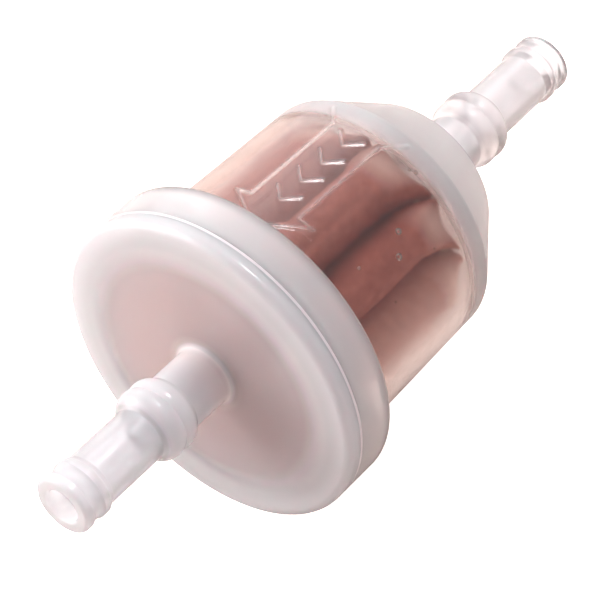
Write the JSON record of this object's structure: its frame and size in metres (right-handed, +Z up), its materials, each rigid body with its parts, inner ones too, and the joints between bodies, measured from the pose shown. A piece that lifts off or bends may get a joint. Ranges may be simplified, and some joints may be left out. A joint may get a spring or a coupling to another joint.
{
  "type": "in-line fuel filter",
  "caption": "In-line fuel filter: translucent nylon bowl and cap, welded at a flange, hold a pleated paper element between two beaded hose barbs.",
  "frame": {"origin": "middle of the overall length, on the fuel passage's axis", "axes": "+X along the passage the way the fuel flows, out of the outlet barb; +Z up through the moulded flow arrow"},
  "size_m": [0.0932, 0.0416, 0.0416],
  "materials": {
    "bowl_nylon": "milky translucent natural nylon, glossy as moulded",
    "cap_nylon": "milky translucent natural nylon, thicker and whiter than the bowl",
    "weld_nylon": "melted and set nylon, milky, slightly wavy",
    "filter_paper": "resin-treated pinkish-tan filter paper, fibrous and matt",
    "adhesive": "set hot-melt adhesive, satin",
    "seal_compound": "soft pinkish sealing compound, matt"
  },
  "bodies": {
    "root": {"bowl": "bowl_nylon", "cap": "cap_nylon", "weld_bead": "weld_nylon", "filter_paper": "filter_paper", "paper_seam": "adhesive", "end_seal": "adhesive", "outlet_seal_ring": "seal_compound"}
  },
  "joints": []
}
